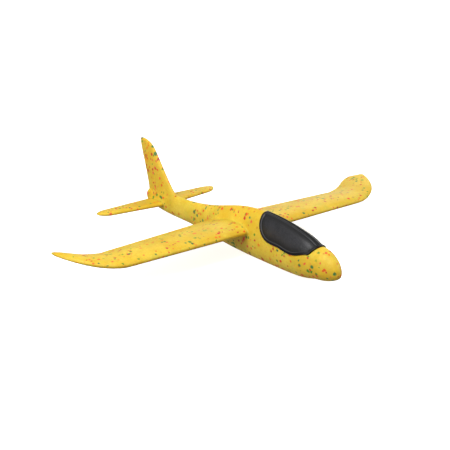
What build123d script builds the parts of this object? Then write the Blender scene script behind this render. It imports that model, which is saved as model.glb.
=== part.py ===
from build123d import *

import os
from math import radians, sin

os.makedirs("parts", exist_ok=True)

# Toy airplane: a hand-launched glider moulded in bead foam.
# +X to the nose, +Y to port, +Z up; the origin is under the middle of the
# overall length, on the flat under the belly.  Millimetres.

# Overall
NOSE_X = 198.8
HALF_SPAN = 237.4
GAP = 0.3  # all-round clearance between pieces that slide or lift off

# Wing
WING_LE = 53.5
WING_CHORD = 78.5
WING_LE_TAPER = 2.4  # how far the edges close in from root to tip
WING_TE_TAPER = 16.5
WING_BOTTOM = 29.8
WING_THICK = 11.0
WING_CENTRE = 18.0  # half length of the straight centre that sits in the slot
BEND_Y = 173.7  # the tips turn up from here
TIP_RISE = 13.6
TIP_SWEEP = 41.0
TIP_SWEEP_TE = 38.0
TIP_RADIUS = 28.2
TIP_LEAN = 10.9  # the end of the tip sits this far forward of mid chord

# Tailplane
TAIL_LE = -141.0
TAIL_CHORD = 37.6
TAIL_LE_TAPER = 12.5
TAIL_TE_TAPER = 4.5
TAIL_Z = 23.4
TAIL_THICK = 6.6
TAIL_CENTRE = 8.0
TAIL_HALF = 94.5
TAIL_TIP_R = 17.0
TAIL_LEAN = -3.0

# Fin and tail lobe
FIN_STATIONS = (  # height, leading edge, trailing edge, thickness
    (33.0, -107.0, -183.0, 8.0),
    (40.0, -118.5, -184.0, 7.8),
    (48.0, -127.2, -185.2, 7.5),
    (60.0, -137.4, -188.0, 7.0),
    (72.0, -146.6, -191.1, 6.5),
    (83.0, -154.8, -194.2, 6.0),
    (91.8, -161.4, -196.6, 5.5),
    (98.6, -167.4, -198.1, 5.0),
    (103.0, -174.0, -198.6, 4.4),
    (105.7, -181.0, -198.4, 3.6),
    (107.2, -187.5, -197.6, 2.6),
    (107.8, -192.0, -196.0, 1.4),
)
LOBE_X = -177.0
LOBE_Z = 28.6
LOBE_R = 9.4
LOBE_HALF = 5.2

# Canopy and what it covers
CANOPY_PROUD = 0.9  # the canopy stands this far out of the foam
CANOPY_WALL = 5.0
CANOPY_LOW = 30.3
CANOPY_REAR = 72.3
CANOPY_FRONT = 169.0
CANOPY_CROWN = 75.0  # anywhere above the spine
PEG_R = 2.5
PEG_FOOT = 43.0
PEGS = ((88.0, 57.0), (118.0, 54.0))  # station, and height the peg runs up to

# Fuselage sections: station, top, bottom, half width.  The belly dips just
# under zero so that the cut at zero leaves the flat it rests on.
STATIONS = (
    (-184.0, 35.7, 18.3, 4.4),
    (-160.0, 40.0, 13.8, 4.9),
    (-128.0, 40.7, 11.0, 5.7),
    (-92.0, 40.1, 9.9, 6.9),
    (-54.0, 42.9, 7.4, 8.5),
    (-16.0, 49.9, 3.3, 9.9),
    (22.0, 58.3, 0.5, 11.3),
    (58.0, 62.0, -0.5, 13.0),
    (90.0, 61.2, -0.7, 15.1),
    (116.0, 58.0, -0.5, 16.7),
    (137.0, 53.6, 0.3, 17.1),
    (153.0, 49.0, 2.3, 16.2),
    (166.0, 43.7, 4.9, 14.1),
)
NOSE_Z = 17.5  # height of the very tip of the nose
NOSE_SHARES = (0.28, 0.52, 0.72, 0.87, 0.96, 0.995)  # stations along the nose cap
FULLNESS = 0.62  # handle length of the section curves; 0.55 is an ellipse


def body_section(x, top, bottom, half, inset=0.0):
    """One fuselage cross-section as a face, drawn in by the inset."""
    t, b, w = top - inset, bottom + inset, half - inset
    mid = 0.46 * top + 0.54 * bottom
    with BuildSketch(Plane.YZ.offset(x)) as section:
        with BuildLine():
            Bezier((0, t), (FULLNESS * w, t), (w, mid + FULLNESS * (t - mid)), (w, mid))
            Bezier((w, mid), (w, mid - FULLNESS * (mid - b)), (FULLNESS * w, b), (0, b))
            mirror(about=Plane.YZ)
        make_face()
    return section.sketch.faces()[0]


def body_faces(inset=0.0):
    """All cross-sections from the tail to the nose; an inset body stops short of the nose."""
    faces = [body_section(*station, inset) for station in STATIONS]
    if inset > 0:
        return faces
    start, top, bottom, half = STATIONS[-1]
    for share in NOSE_SHARES:
        size = (1 - share**1.55) ** 0.5
        x = start + share * (NOSE_X - start)
        up = NOSE_Z + (top - NOSE_Z) * size
        down = NOSE_Z - (NOSE_Z - bottom) * size
        faces.append(body_section(x, up, down, half * size, inset * size))
    return faces


def wing_section(le, te, low, thick, grow=0.0):
    """Flat-bottomed wing section with a blunt nose and a soft edge above it."""
    chord = le - te
    nose = min(2.6, 0.2 * chord)
    chin = min(7.5, 0.2 * chord)
    tail = min(1.6, 0.15 * chord)
    le, te, low = le + grow, te - grow, low - grow

    def up(share):
        return low + share * thick + 2 * grow

    with BuildLine() as outline:
        Line((te + tail, low), (le - chin, low))
        Bezier(
            (le - chin, low),
            (le - 0.35 * chin, low),
            (le, low + 0.12 * thick + grow),
            (le, up(0.42)),
        )
        Bezier(
            (le, up(0.42)),
            (le - nose, up(0.84)),
            (le - 0.15 * chord, up(1.0)),
            (le - 0.33 * chord, up(1.0)),
        )
        Bezier(
            (le - 0.33 * chord, up(1.0)),
            (le - 0.60 * chord, up(1.0)),
            (te + 0.28 * chord, up(0.46)),
            (te + tail, up(0.2)),
        )
        Bezier(
            (te + tail, up(0.2)),
            (te - 0.3 * tail, up(0.14)),
            (te - 0.3 * tail, low + 0.02 * thick),
            (te + tail, low),
        )
    make_face(outline.edges())


def blade_section(le, te, mid, thick):
    """Slim symmetrical section with both edges rounded, for the tailplane."""
    chord = le - te
    crest = le - 0.36 * chord
    half = thick / 2
    with BuildLine() as outline:
        for side in (1, -1):
            Bezier(
                (le, mid),
                (le, mid + side * 0.95 * half),
                (crest + 0.2 * chord, mid + side * half),
                (crest, mid + side * half),
            )
            Bezier(
                (crest, mid + side * half),
                (crest - 0.3 * chord, mid + side * half),
                (te, mid + side * 0.75 * half),
                (te, mid),
            )
    make_face(outline.edges())


def canopy_side(grow=0.0):
    """The canopy's edge seen from the side; it saddles the top of the fuselage."""
    rear = CANOPY_REAR - grow
    front = CANOPY_FRONT + grow
    low = CANOPY_LOW - grow
    with BuildLine() as outline:
        Spline(
            (rear, 68.0),
            (rear + 3.9, 44.0),
            (rear + 13.5, low + 4.2),
            (rear + 38.0, low + 1.6),
            (front - 29.0, low - 0.4),
            (front - 12.0, low + 4.4),
            (front + 1.5, low + 18.0),
            tangents=((0.1, -1.0), (0.7, 1.0)),
        )
        Polyline(
            (front + 1.5, low + 18.0),
            (front + 1.5, CANOPY_CROWN),
            (rear, CANOPY_CROWN),
            (rear, 68.0),
        )
    make_face(outline.edges())


def rounding(reach, radius):
    """Share of the full chord left at this reach from a tip of this radius."""
    if reach >= radius:
        return 1.0
    return max(1 - ((radius - reach) / radius) ** 2, 0.0) ** 0.5


def tip_stations(reach, radius):
    """Stations round a tip, evenly spaced along its curve."""
    return [reach - radius * (1 - sin(radians(a))) for a in (0, 18, 36, 54, 72, 84)]


def wing_planform(y):
    """Leading edge, trailing edge, underside height and thickness at y."""
    out = y / HALF_SPAN
    bend = max(0.0, (y - BEND_Y) / (HALF_SPAN - BEND_Y))
    le = WING_LE - WING_LE_TAPER * out - TIP_SWEEP * bend**2
    te = WING_LE - WING_CHORD + WING_TE_TAPER * out - TIP_SWEEP_TE * bend**2
    keep = rounding(HALF_SPAN - y, TIP_RADIUS)
    middle = (le + te) / 2 + TIP_LEAN * (1 - keep)
    half = (le - te) / 2 * keep
    thick = WING_THICK * (1 - 0.1 * out - 0.25 * bend) * (0.4 + 0.6 * keep)
    low = WING_BOTTOM + TIP_RISE * bend**1.8
    return middle + half, middle - half, low, thick


def tail_planform(y):
    """Leading edge, trailing edge, mid height and thickness at y."""
    out = y / TAIL_HALF
    le = TAIL_LE - TAIL_LE_TAPER * out
    te = TAIL_LE - TAIL_CHORD + TAIL_TE_TAPER * out
    keep = rounding(TAIL_HALF - y, TAIL_TIP_R)
    middle = (le + te) / 2 + TAIL_LEAN * (1 - keep)
    half = (le - te) / 2 * keep
    thick = TAIL_THICK * (1 - 0.15 * out) * (0.35 + 0.65 * keep)
    return middle + half, middle - half, TAIL_Z, thick


# ---------------------------------------------------------------- main wing
with BuildPart() as wing_panel:
    with BuildSketch(Plane.XZ.offset(-WING_CENTRE)):
        wing_section(*wing_planform(0))
    with BuildSketch(Plane.XZ.offset(-BEND_Y)):
        wing_section(*wing_planform(BEND_Y))
    loft(ruled=True)

with BuildPart() as wing_tip:
    for y in (BEND_Y, 183.0, 196.0, *tip_stations(HALF_SPAN, TIP_RADIUS)):
        with BuildSketch(Plane.XZ.offset(-y)):
            wing_section(*wing_planform(y))
    loft()

with BuildPart() as main_wing:
    with BuildSketch(Plane.XZ):
        wing_section(*wing_planform(0))
    extrude(amount=WING_CENTRE, both=True)
    for half in (wing_panel.part, wing_tip.part):
        add(half)
        mirror(half, about=Plane.XZ)
main_wing.part.label = "main_wing"

# ---------------------------------------------------------------- tailplane
with BuildPart() as tail_panel:
    with BuildSketch(Plane.XZ.offset(-TAIL_CENTRE)):
        blade_section(*tail_planform(0))
    with BuildSketch(Plane.XZ.offset(TAIL_TIP_R - TAIL_HALF)):
        blade_section(*tail_planform(TAIL_HALF - TAIL_TIP_R))
    loft(ruled=True)

with BuildPart() as tail_tip:
    for y in tip_stations(TAIL_HALF, TAIL_TIP_R):
        with BuildSketch(Plane.XZ.offset(-y)):
            blade_section(*tail_planform(y))
    loft()

with BuildPart() as tailplane:
    with BuildSketch(Plane.XZ):
        blade_section(*tail_planform(0))
    extrude(amount=TAIL_CENTRE, both=True)
    for half in (tail_panel.part, tail_tip.part):
        add(half)
        mirror(half, about=Plane.XZ)
tailplane.part.label = "tailplane"

# ------------------------------------------------------- shared body shapes
with BuildPart() as blank:
    loft(sections=body_faces())
with BuildPart() as proud:
    loft(sections=body_faces(-CANOPY_PROUD))
with BuildPart() as core:
    loft(sections=body_faces(CANOPY_WALL))
with BuildPart() as grown_core:
    loft(sections=body_faces(CANOPY_WALL - GAP))

# ------------------------------------------------------------------ canopy
with BuildPart() as canopy:
    with BuildSketch(Plane.XZ):
        canopy_side()
    extrude(amount=40, both=True)
    add(proud.part, mode=Mode.INTERSECT)
    add(grown_core.part, mode=Mode.SUBTRACT)
    # two pegs under the crown that plug into the fuselage
    for x, top in PEGS:
        with Locations((x, 0, PEG_FOOT)):
            Cylinder(PEG_R, top - PEG_FOOT, align=(Align.CENTER, Align.CENTER, Align.MIN))
canopy.part.label = "canopy"

# ---------------------------------------------------------------- fuselage
with BuildPart() as fin:
    for z, le, te, thick in FIN_STATIONS:
        with BuildSketch(Plane.XY.offset(z)):
            blade_section(le, te, 0, thick)
    loft()

# rounded lobe that closes the tail end
with BuildPart() as lobe:
    with Locations((LOBE_X, 0, LOBE_Z)):
        Cylinder(LOBE_R, 2 * LOBE_HALF, rotation=(90, 0, 0))
    fillet(lobe.edges().filter_by(GeomType.CIRCLE), LOBE_HALF - 1.2)

# what the canopy's seat takes out of the body
with BuildPart() as seat:
    with BuildSketch(Plane.XZ):
        canopy_side(GAP)
    extrude(amount=40, both=True)
    add(core.part, mode=Mode.SUBTRACT)

with BuildPart() as fuselage:
    add(blank.part)
    add(fin.part)
    add(lobe.part)
    # belly flat
    split(bisect_by=Plane.XY, keep=Keep.TOP)
    add(seat.part, mode=Mode.SUBTRACT)
    for x, top in PEGS:
        with Locations((x, 0, PEG_FOOT - 0.6)):
            Cylinder(
                PEG_R + GAP, 30, align=(Align.CENTER, Align.CENTER, Align.MIN), mode=Mode.SUBTRACT
            )
    # slots for the wing and the tailplane
    with BuildSketch(Plane.XZ):
        wing_section(*wing_planform(0), GAP)
    extrude(amount=40, both=True, mode=Mode.SUBTRACT)
    with BuildSketch(Plane.XZ):
        le, te, mid, thick = tail_planform(0)
        blade_section(le + GAP, te - GAP, mid, thick + 2 * GAP)
    extrude(amount=40, both=True, mode=Mode.SUBTRACT)
fuselage.part.label = "fuselage"

for piece in (fuselage, main_wing, tailplane, canopy):
    export_step(piece.part, f"parts/{piece.part.label}.step")
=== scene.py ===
import math

import bmesh
import bpy
import numpy as np
from mathutils import Matrix, Vector
from mathutils.bvhtree import BVHTree
from mathutils.kdtree import KDTree


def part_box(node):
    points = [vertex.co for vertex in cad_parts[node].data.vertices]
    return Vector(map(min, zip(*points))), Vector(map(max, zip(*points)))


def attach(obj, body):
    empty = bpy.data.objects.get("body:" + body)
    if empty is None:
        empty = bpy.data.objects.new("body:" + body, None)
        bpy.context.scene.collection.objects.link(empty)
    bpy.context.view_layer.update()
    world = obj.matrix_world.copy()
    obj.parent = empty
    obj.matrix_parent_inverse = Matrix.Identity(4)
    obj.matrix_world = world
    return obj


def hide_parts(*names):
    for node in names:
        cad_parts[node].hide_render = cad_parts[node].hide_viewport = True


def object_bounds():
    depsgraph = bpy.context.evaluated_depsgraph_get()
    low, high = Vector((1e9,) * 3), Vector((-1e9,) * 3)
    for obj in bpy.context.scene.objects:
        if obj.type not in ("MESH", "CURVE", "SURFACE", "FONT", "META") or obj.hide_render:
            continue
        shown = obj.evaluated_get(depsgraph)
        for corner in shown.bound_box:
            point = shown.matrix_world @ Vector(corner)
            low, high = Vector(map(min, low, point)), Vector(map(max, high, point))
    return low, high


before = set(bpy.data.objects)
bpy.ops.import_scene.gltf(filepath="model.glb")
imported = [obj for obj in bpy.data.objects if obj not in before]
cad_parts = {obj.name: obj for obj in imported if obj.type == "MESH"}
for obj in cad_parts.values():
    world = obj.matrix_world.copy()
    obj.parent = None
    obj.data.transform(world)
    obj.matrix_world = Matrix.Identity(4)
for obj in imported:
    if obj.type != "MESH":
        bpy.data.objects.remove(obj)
CAD_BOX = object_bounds()
scene = bpy.context.scene

# ------------------------------------------------------------------ helpers


def srgb(r, g, b):
    """An sRGB colour, 0 to 255, as the linear colour that shaders take."""
    def one(c):
        c /= 255
        return c / 12.92 if c <= 0.04045 else ((c + 0.055) / 1.055) ** 2.4
    return one(r), one(g), one(b), 1.0


class Nodes:
    """Short calls for building a material's node tree."""

    def __init__(self, name):
        self.mat = bpy.data.materials.new(name)
        self.mat.use_nodes = True
        self.tree = self.mat.node_tree
        self.tree.nodes.clear()

    def add(self, kind, inputs=None, **settings):
        node = self.tree.nodes.new(kind)
        for key, value in settings.items():
            setattr(node, key, value)
        for key, value in (inputs or {}).items():
            self.put(node.inputs[key], value)
        return node

    def put(self, socket, value):
        if isinstance(value, bpy.types.NodeSocket):
            self.tree.links.new(value, socket)
        else:
            socket.default_value = value

    def math(self, operation, *values):
        node = self.add("ShaderNodeMath", operation=operation)
        for socket, value in zip(node.inputs, values):
            self.put(socket, value)
        return node.outputs[0]

    def remap(self, value, low, high, to_low=0.0, to_high=1.0, smooth=True):
        node = self.add(
            "ShaderNodeMapRange",
            {"Value": value, "From Min": low, "From Max": high, "To Min": to_low, "To Max": to_high},
            interpolation_type="SMOOTHSTEP" if smooth else "LINEAR",
        )
        return node.outputs["Result"]

    def mix(self, share, a, b):
        node = self.add("ShaderNodeMix", data_type="RGBA")
        self.put(node.inputs["Factor"], share)
        self.put(node.inputs[6], a)
        self.put(node.inputs[7], b)
        return node.outputs[2]

    def noise(self, vector, scale, detail=2.0, roughness=0.5):
        return self.add(
            "ShaderNodeTexNoise",
            {"Vector": vector, "Scale": scale, "Detail": detail, "Roughness": roughness},
        )

    def cells(self, vector, scale, feature="F1"):
        return self.add(
            "ShaderNodeTexVoronoi", {"Vector": vector, "Scale": scale}, feature=feature
        )

    def vector(self, operation, *values):
        node = self.add("ShaderNodeVectorMath", operation=operation)
        for socket, value in zip(node.inputs, values):
            self.put(socket, value)
        return node.outputs[0]

    def output(self, shader):
        out = self.add("ShaderNodeOutputMaterial")
        self.tree.links.new(shader, out.inputs["Surface"])
        return self.mat


# ---------------------------------------------------------------- materials
BEAD = 300.0  # foam beads per metre, 3.3 mm each


def odd_beads(n, crowd, warped, scale, least, most, reach):
    """Scattered beads of other colours: how much of each point they cover, and their colour."""
    odd = n.cells(warped, scale)
    part = n.add("ShaderNodeSeparateColor", {"Color": odd.outputs["Color"]})
    rare = n.math("GREATER_THAN", part.outputs[0], n.remap(crowd, 0.0, 1.0, least, most))
    size = n.remap(part.outputs[2], 0.0, 1.0, 0.6 * reach, 1.2 * reach, smooth=False)
    inside = n.remap(n.math("SUBTRACT", odd.outputs["Distance"], size), -0.16, 0.08, 1.0, 0.0)
    ramp = n.add("ShaderNodeValToRGB", {"Fac": part.outputs[1]})
    ramp.color_ramp.interpolation = "CONSTANT"
    steps = (
        (0.0, srgb(224, 62, 26)),
        (0.22, srgb(228, 92, 56)),
        (0.38, srgb(196, 30, 34)),
        (0.54, srgb(232, 112, 26)),
        (0.64, srgb(64, 134, 34)),
        (0.82, srgb(24, 116, 62)),
        (0.95, srgb(172, 58, 66)),
    )
    marks = ramp.color_ramp.elements
    marks[0].color = steps[0][1]
    marks[1].position, marks[1].color = steps[1]
    for at, shade in steps[2:]:
        marks.new(at).color = shade
    return n.math("MULTIPLY", rare, inside), ramp.outputs["Color"]


def foam(name, shift, fleck_sizes):
    """Golden bead foam: packed beads, a moulded skin, and odd beads of other colours.

    The odd beads come in drifts, and most of all in the nose and the fin.
    """
    n = Nodes(name)
    unshifted = n.add("ShaderNodeTexCoord").outputs["Object"]
    axes = n.add("ShaderNodeSeparateXYZ", {"Vector": unshifted})
    nose = n.remap(axes.outputs["X"], 0.06, 0.17, 0.0, 0.9)
    fin = n.remap(axes.outputs["Z"], 0.050, 0.075, 0.0, 0.9)
    fin = n.math("MULTIPLY", fin, n.remap(axes.outputs["X"], -0.09, -0.12))
    place = n.vector("ADD", unshifted, shift)
    drift = n.remap(n.noise(place, 38.0, 2.0).outputs["Fac"], 0.36, 0.66)
    crowd = n.math("MAXIMUM", drift, n.math("MAXIMUM", nose, fin))
    wobble = n.noise(place, 420.0, 2.0).outputs["Color"]
    warped = n.vector(
        "ADD", place, n.vector("MULTIPLY", n.vector("SUBTRACT", wobble, (0.5,) * 3), (0.0024,) * 3)
    )

    # base colour: slow mottling, each bead a little different, darker bead borders
    slow = n.noise(place, 26.0, 3.0).outputs["Fac"]
    bead = n.cells(warped, BEAD)
    border = n.cells(warped, BEAD, "DISTANCE_TO_EDGE")
    tone = n.add("ShaderNodeSeparateColor", {"Color": bead.outputs["Color"]})
    colour = n.mix(n.remap(slow, 0.3, 0.7), srgb(222, 184, 40), srgb(235, 206, 70))
    colour = n.mix(n.math("MULTIPLY", tone.outputs[0], 0.30), colour, srgb(212, 162, 24))
    green = n.remap(n.noise(place, 70.0, 3.0).outputs["Fac"], 0.50, 0.72, 0.0, 0.5)
    colour = n.mix(green, colour, srgb(204, 186, 60))
    seam = n.remap(border.outputs["Distance"], 0.0, 0.09, 1.0, 0.0)
    colour = n.mix(n.math("MULTIPLY", seam, 0.18), colour, srgb(204, 144, 18))

    for scale, least, most, reach in fleck_sizes:
        cover, tint = odd_beads(n, crowd, warped, scale, least, most, reach)
        colour = n.mix(n.math("MULTIPLY", cover, 0.92), colour, tint)

    # surface: each bead is a faint pillow, with a fine skin grain over it
    pillow = n.remap(border.outputs["Distance"], 0.0, 0.22)
    grain = n.noise(place, 1800.0, 3.0, 0.6).outputs["Fac"]
    height = n.math(
        "ADD", n.math("MULTIPLY", pillow, 0.6), n.math("MULTIPLY", grain, 0.3)
    )
    bump = n.add("ShaderNodeBump", {"Height": height, "Strength": 0.3, "Distance": 0.0003})
    shader = n.add(
        "ShaderNodeBsdfPrincipled",
        {
            "Base Color": colour,
            "Roughness": n.remap(grain, 0.2, 0.8, 0.46, 0.60),
            "Normal": bump.outputs["Normal"],
            "Specular IOR Level": 0.36,
            "Subsurface Weight": 0.35,
            "Subsurface Radius": (1.0, 0.5, 0.12),
            "Subsurface Scale": 0.006,
        },
    )
    return n.output(shader.outputs[0])


def black_foam(name):
    """Black moulding: a grained matt panel with a painted highlight along its step, a painted sheen
    in its middle that darkens to painted shade at its edges, and a smooth rim and spine.
    """
    n = Nodes(name)
    place = n.add("ShaderNodeTexCoord").outputs["Object"]
    panel = n.add("ShaderNodeAttribute", attribute_name="panel").outputs["Fac"]
    # how much of the painted sheen a point keeps; where it falls to 0 the panel gets painted shade
    painted_sheen = n.add("ShaderNodeAttribute", attribute_name="painted_sheen").outputs["Fac"]
    slow = n.noise(place, 90.0, 3.0).outputs["Fac"]
    grain = n.noise(place, 1500.0, 4.0, 0.65).outputs["Fac"]
    border = n.cells(place, 360.0, "DISTANCE_TO_EDGE").outputs["Distance"]
    matt = n.mix(n.remap(slow, 0.3, 0.7), srgb(27, 27, 30), srgb(37, 37, 41))
    matt = n.mix(n.math("MULTIPLY", n.remap(grain, 0.45, 0.7), 0.5), matt, srgb(70, 70, 74))
    # painted shade and sheen: the panel darkens to near black towards its rim and spine, and keeps
    # its lighter matt colour in the middle
    matt = n.mix(painted_sheen, srgb(12, 12, 13), matt)
    # painted highlight: a light grey line along the step round the sunk panel, where the step would
    # catch the light
    painted_step_highlight = n.math("MULTIPLY", n.math("MULTIPLY", panel, n.math("SUBTRACT", 1.0, panel)), 1.7)
    gloss = n.mix(n.remap(slow, 0.3, 0.7), srgb(10, 10, 11), srgb(17, 17, 18))
    height = n.math(
        "ADD",
        n.math("MULTIPLY", grain, 0.7),
        n.math("MULTIPLY", n.remap(border, 0.0, 0.2), 0.5),
    )
    strength = n.remap(panel, 0.0, 1.0, 0.10, 0.38)
    bump = n.add("ShaderNodeBump", {"Height": height, "Strength": strength, "Distance": 0.0003})
    rough = n.remap(grain, 0.3, 0.7, 0.34, 0.48)
    shader = n.add(
        "ShaderNodeBsdfPrincipled",
        {
            # the painted highlight along the step is mixed over the rim and panel colours
            "Base Color": n.mix(painted_step_highlight, n.mix(panel, gloss, matt), srgb(86, 86, 90)),
            "Roughness": rough,
            "Normal": bump.outputs["Normal"],
            "Specular IOR Level": n.remap(panel, 0.0, 1.0, 0.26, 0.46),
        },
    )
    return n.output(shader.outputs[0])


# -------------------------------------------------------------------- meshes


def clean_copy(node):
    """A welded copy of a CAD node's mesh, as a bmesh."""
    bm = bmesh.new()
    bm.from_mesh(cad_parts[node].data)
    bmesh.ops.remove_doubles(bm, verts=bm.verts, dist=2e-6)
    bmesh.ops.recalc_face_normals(bm, faces=bm.faces)
    return bm


def grow(bm, amount):
    """Moves every point out along its normal."""
    bm.normal_update()
    steps = [vert.normal * amount for vert in bm.verts]
    for vert, step in zip(bm.verts, steps):
        vert.co += step


def root_of(node, reach, amount):
    """The middle of a wing, out to the given reach each side, grown a little and closed."""
    bm = clean_copy(node)
    grow(bm, amount)
    for side in (1, -1):
        parts = bm.verts[:] + bm.edges[:] + bm.faces[:]
        cut = bmesh.ops.bisect_plane(
            bm, geom=parts, plane_co=(0, side * reach, 0), plane_no=(0, side, 0), clear_outer=True
        )
        rim = [part for part in cut["geom_cut"] if isinstance(part, bmesh.types.BMEdge)]
        bmesh.ops.contextual_create(bm, geom=rim)
    bmesh.ops.recalc_face_normals(bm, faces=bm.faces)
    return bm


def to_object(bm, name):
    """A new object that holds the bmesh, which is freed."""
    mesh = bpy.data.meshes.new(name)
    bm.to_mesh(mesh)
    bm.free()
    piece = bpy.data.objects.new(name, mesh)
    scene.collection.objects.link(piece)
    return piece


def applied(piece):
    """Turns an object's modifiers into its mesh."""
    graph = bpy.context.evaluated_depsgraph_get()
    mesh = bpy.data.meshes.new_from_object(piece.evaluated_get(graph))
    piece.modifiers.clear()
    piece.data = mesh


BODY_VOXEL = 0.0010
TAIL_VOXEL = 0.0008  # the tailplane and the canopy have the finer edges
CANOPY_VOXEL = 0.0005
SOFT_ROUNDS = 3
BEAD_SIZE = 0.0034
BEAD_DEPTH = 0.00014


def skin(piece, voxel):
    """One even skin over everything in the mesh, with its corners softened."""
    remesh = piece.modifiers.new("skin", "REMESH")
    remesh.mode = "VOXEL"
    remesh.voxel_size = voxel
    soften = piece.modifiers.new("soften", "SMOOTH")
    soften.factor = 0.5
    soften.iterations = SOFT_ROUNDS
    applied(piece)


def bead_relief(piece):
    """The faint pillows of the beads under the moulded skin."""
    beads = bpy.data.textures.new(piece.name + "_beads", "VORONOI")
    beads.noise_scale = BEAD_SIZE
    relief = piece.modifiers.new("beads", "DISPLACE")
    relief.texture = beads
    relief.texture_coords = "LOCAL"
    relief.mid_level = 0.45
    relief.strength = -BEAD_DEPTH
    applied(piece)


def vectors_of(mesh, key):
    """The "co" or the "normal" of every point, as rows."""
    flat = np.empty(len(mesh.vertices) * 3)
    mesh.vertices.foreach_get(key, flat)
    return flat.reshape(-1, 3)


def smoothstep(values, low, high):
    """0 below low, 1 above high, and an even S between them."""
    share = np.clip((values - low) / (high - low), 0, 1)
    return share * share * (3 - 2 * share)


def smooth_at(piece, shares, rounds):
    """Smooths a mesh by the share given for each point."""
    group = piece.vertex_groups.new(name="blend")
    for index in np.nonzero(shares > 0.01)[0]:
        group.add([int(index)], float(shares[index]), "REPLACE")
    soften = piece.modifiers.new("blend", "SMOOTH")
    soften.factor = 0.6
    soften.iterations = rounds
    soften.vertex_group = group.name
    applied(piece)
    piece.vertex_groups.clear()


def nearest(tree, points):
    """How far each point is from the surface."""
    return np.array([tree.find_nearest(Vector(point))[3] for point in points])


# ------------------------------------------------------------------- pieces
FILLET_REACH = 0.0055  # the fairing round each slot mouth fades out this far off
FILLET_ROUNDS = 14
SLOT_CLEAR = 0.00012  # left round the wing and the tailplane in their slots
STUB_END = 0.002  # the open end of a stub is left out of the smoothing
CUT_PAST = 0.012  # the slot cutter runs this far past the stub
PLUG_GROWTH = 0.00035  # fills the gap round the slot, so that the skin closes over it
ROOTS = (  # panel, reach of the plug inside the fuselage, reach of the stub outside it
    ("main_wing", 0.0115, 0.026),
    ("tailplane", 0.0052, 0.014),
)


def merge(bm, other):
    """Adds a mesh to another, and frees it."""
    holder = bpy.data.meshes.new("holder")
    other.to_mesh(holder)
    other.free()
    bm.from_mesh(holder)
    bpy.data.meshes.remove(holder)


def finish(piece, node, body, material):
    """Gives a piece its material and its body, and hides the CAD node it stands for."""
    piece.data.materials.clear()
    piece.data.materials.append(material)
    for polygon in piece.data.polygons:
        polygon.use_smooth = True
    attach(piece, body)
    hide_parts(node)


def foam_panel(node, body, voxel, material):
    """The wing or the tailplane."""
    piece = to_object(clean_copy(node), node + "_foam")
    skin(piece, voxel)
    bead_relief(piece)
    finish(piece, node, body, material)


def foam_body(material):
    """The fuselage with its fin; the foam swells into a fairing round each slot mouth."""
    bm = clean_copy("fuselage")
    body_tree = BVHTree.FromBMesh(bm)
    stub_trees = []
    for node, plug_reach, stub_reach in ROOTS:
        merge(bm, root_of(node, plug_reach, PLUG_GROWTH))
        stub = root_of(node, stub_reach, 0.0)
        stub_trees.append(BVHTree.FromBMesh(stub))
        merge(bm, stub)
    piece = to_object(bm, "fuselage_foam")
    skin(piece, BODY_VOXEL)

    points = vectors_of(piece.data, "co")
    shares = np.zeros(len(points))
    for (node, _, reach), tree in zip(ROOTS, stub_trees):
        low, high = (np.array(corner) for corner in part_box(node))
        margin = FILLET_REACH * 1.6
        near = (
            (points[:, 0] > low[0] - margin)
            & (points[:, 0] < high[0] + margin)
            & (points[:, 2] > low[2] - margin)
            & (points[:, 2] < high[2] + margin)
            & (np.abs(points[:, 1]) < reach - STUB_END)
        )
        where = np.nonzero(near)[0]
        off = np.maximum(nearest(tree, points[where]), nearest(body_tree, points[where]))
        shares[where] = np.maximum(shares[where], 1 - smoothstep(off, 0, FILLET_REACH))
    smooth_at(piece, shares, FILLET_ROUNDS)
    bead_relief(piece)

    for node, _, reach in ROOTS:
        cutter = to_object(root_of(node, reach + CUT_PAST, SLOT_CLEAR), node + "_cutter")
        cut = piece.modifiers.new("slot", "BOOLEAN")
        cut.operation = "DIFFERENCE"
        cut.solver = "EXACT"
        cut.object = cutter
        applied(piece)
        bpy.data.objects.remove(cutter)
    finish(piece, "fuselage", "airframe", material)


# the canopy's moulded relief
RIM_WIDTH = 0.0030
RIM_STEP = 0.0008
PANEL_DEPTH = 0.0009
SPINE_HALF = 0.0026
SPINE_GROOVE = 0.0007
PAINTED_SHEEN_REACH = 0.013  # painted shade: the panel is painted darker nearer its edge than this, which leaves a painted sheen in its middle


def lower_rim(bm, axis_z):
    """Points along the sharp edges where the canopy's outer skin ends."""
    points = []
    for edge in bm.edges:
        if len(edge.link_faces) != 2 or edge.calc_face_angle(0) < math.radians(35):
            continue
        start, end = (vert.co for vert in edge.verts)
        away = (start - Vector((start.x, 0, axis_z))).normalized()
        if max(face.normal.dot(away) for face in edge.link_faces) > 0.35:
            points += [start.lerp(end, share) for share in (0.0, 0.25, 0.5, 0.75)]
    return points


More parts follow.
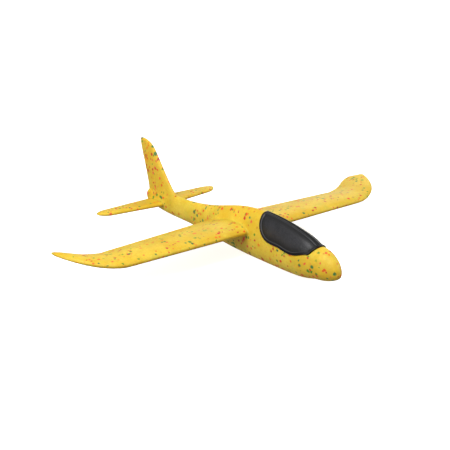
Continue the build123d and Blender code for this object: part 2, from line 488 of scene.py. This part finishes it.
def canopy_moulding(material):
    """The black cockpit piece: a rim, a sunk panel each side and a ribbed spine."""
    bm = clean_copy("canopy")
    bm.normal_update()
    axis_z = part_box("canopy")[0].z
    rim = lower_rim(bm, axis_z)
    tree = KDTree(len(rim))
    for index, point in enumerate(rim):
        tree.insert(point, index)
    tree.balance()
    piece = to_object(bm, "canopy_foam")
    skin(piece, CANOPY_VOXEL)

    mesh = piece.data
    points, normals = vectors_of(mesh, "co"), vectors_of(mesh, "normal")
    away = points * (0, 1, 1) - (0, 0, axis_z)
    away /= np.linalg.norm(away, axis=1, keepdims=True)
    outer = smoothstep(np.sum(normals * away, axis=1), 0.2, 0.4)
    off_rim = np.array([tree.find(point)[2] for point in points])
    off_spine = np.abs(points[:, 1])
    inside = outer * smoothstep(off_rim, RIM_WIDTH, RIM_WIDTH + RIM_STEP)
    panel = inside * smoothstep(off_spine, SPINE_HALF, SPINE_HALF + RIM_STEP)
    groove = inside * (1 - smoothstep(off_spine, SPINE_GROOVE, SPINE_GROOVE + RIM_STEP))
    depth = PANEL_DEPTH * (panel + groove)
    mesh.vertices.foreach_set("co", (points - normals * depth[:, None]).ravel())
    # painted sheen: 1 in the panel's middle, falling to 0 (painted shade) near the rim and the spine
    painted_sheen = outer * smoothstep(np.minimum(off_rim, off_spine), RIM_WIDTH, PAINTED_SHEEN_REACH)
    for name, values in (("panel", panel), ("painted_sheen", painted_sheen)):
        shade = mesh.attributes.new(name, "FLOAT", "POINT")
        shade.data.foreach_set("value", values)
    mesh.update()
    finish(piece, "canopy", "cockpit", material)


# Odd beads of two sizes: cells per metre, the share of cells left plain between
# drifts and inside them, and how far a fleck reaches across its cell.
FLECKS_BODY = ((155.0, 0.93, 0.66, 0.40), (240.0, 0.90, 0.66, 0.50))
FLECKS_PANEL = ((200.0, 0.96, 0.82, 0.42), (290.0, 0.93, 0.78, 0.50))

foam_body(foam("foam_fuselage", (0.0, 0.0, 0.0), FLECKS_BODY))
foam_panel("main_wing", "wing", BODY_VOXEL, foam("foam_wing", (1.31, 0.4, 2.2), FLECKS_PANEL))
foam_panel("tailplane", "tail", TAIL_VOXEL, foam("foam_tailplane", (2.17, 1.9, 0.3), FLECKS_PANEL))
canopy_moulding(black_foam("black_foam"))

# -------------------------------------------------------------------- stage


def staged(name, material):
    """Names the newest object and gives it its material; its white glow isn't cast on the glider."""
    piece = bpy.context.object
    piece.name = name
    piece.data.materials.append(material)
    piece.visible_diffuse = False
    piece.visible_glossy = False
    return piece


def pale(name, base, glow):
    """A matt white with a faint mottle, which glows so that it renders as plain white."""
    n = Nodes(name)
    place = n.add("ShaderNodeTexCoord").outputs["Object"]
    speck = n.noise(place, 40.0, 4.0).outputs["Fac"]
    shader = n.add(
        "ShaderNodeBsdfPrincipled",
        {
            "Base Color": n.mix(speck, (base, base, base, 1), (base + 0.03,) * 3 + (1,)),
            "Roughness": 0.9,
            "Emission Color": (1.0, 1.0, 1.0, 1.0),
            "Emission Strength": glow,
        },
    )
    return n.output(shader.outputs[0])


def studio():
    """A plain pale floor that the glider rests on, with a white wall all round."""
    bpy.ops.mesh.primitive_plane_add(size=8.0, location=(0, 0, CAD_BOX[0].z))
    staged("floor", pale("floor", 0.7, 0.85))
    bpy.ops.mesh.primitive_cylinder_add(
        vertices=96, radius=3.9, depth=6.0, end_fill_type="NOTHING", location=(0, 0, 2.9)
    )
    staged("wall", pale("wall", 0.9, 1.0)).visible_shadow = False


def softbox(name, place, aim, size, power):
    """A round white lamp of the given size and watts, turned towards the aim."""
    light = bpy.data.lights.new(name, "AREA")
    light.shape = "DISK"
    light.size = size
    light.energy = power
    lamp = bpy.data.objects.new(name, light)
    lamp.location = place
    lamp.rotation_euler = (Vector(aim) - Vector(place)).to_track_quat("-Z", "Y").to_euler()
    scene.collection.objects.link(lamp)


def studio_sky(below, above):
    """Soft white light from all round, weaker from below than from above."""
    world = bpy.data.worlds.new("studio")
    world.use_nodes = True
    tree = world.node_tree
    direction = tree.nodes.new("ShaderNodeTexCoord").outputs["Generated"]
    parts = tree.nodes.new("ShaderNodeSeparateXYZ")
    tree.links.new(direction, parts.inputs[0])
    height = tree.nodes.new("ShaderNodeMapRange")
    height.inputs["From Min"].default_value = -0.3
    height.inputs["From Max"].default_value = 0.5
    height.inputs["To Min"].default_value = below
    height.inputs["To Max"].default_value = above
    tree.links.new(parts.outputs["Z"], height.inputs["Value"])
    backdrop = tree.nodes["Background"]
    backdrop.inputs["Color"].default_value = (1.0, 1.0, 1.0, 1.0)
    tree.links.new(height.outputs["Result"], backdrop.inputs["Strength"])
    return world


studio()
softbox("key", (0.35, -0.70, 1.35), (0.0, 0.0, 0.03), 0.9, 18.0)
softbox("fill", (0.1, -1.65, 0.5), (0.05, 0.0, 0.03), 1.0, 9.5)
softbox("side", (0.9, 1.4, 0.7), (0.05, 0.0, 0.03), 0.8, 10.0)
softbox("rear", (-1.0, 1.3, 0.6), (0.0, 0.0, 0.03), 1.2, 5.0)

scene.world = studio_sky(0.30, 0.36)
scene.view_settings.view_transform = "Standard"

# ------------------------------------------------------------------- camera
AZIMUTH, ELEVATION, ROLL = (math.radians(a) for a in (53.70, 18.36, -2.04))
AIM = Vector((0.0100, -0.0145, 0.0334))
DISTANCE = 1.159
LENS = 75.6  # mm, on a 36 mm sensor
back = Vector(
    (
        math.sin(AZIMUTH) * math.cos(ELEVATION),
        -math.cos(AZIMUTH) * math.cos(ELEVATION),
        math.sin(ELEVATION),
    )
)
right = Vector((math.cos(AZIMUTH), math.sin(AZIMUTH), 0))
up = back.cross(right)
tilted_right = right * math.cos(ROLL) + up * math.sin(ROLL)
tilted_up = up * math.cos(ROLL) - right * math.sin(ROLL)
camera = bpy.data.objects.new("camera", bpy.data.cameras.new("camera"))
camera.matrix_world = Matrix.Translation(AIM + back * DISTANCE) @ Matrix(
    (tilted_right, tilted_up, back)
).transposed().to_4x4()
camera.data.sensor_width = 36.0
camera.data.lens = LENS
camera.data.clip_start, camera.data.clip_end = 0.01, 20.0
scene.collection.objects.link(camera)
scene.camera = camera
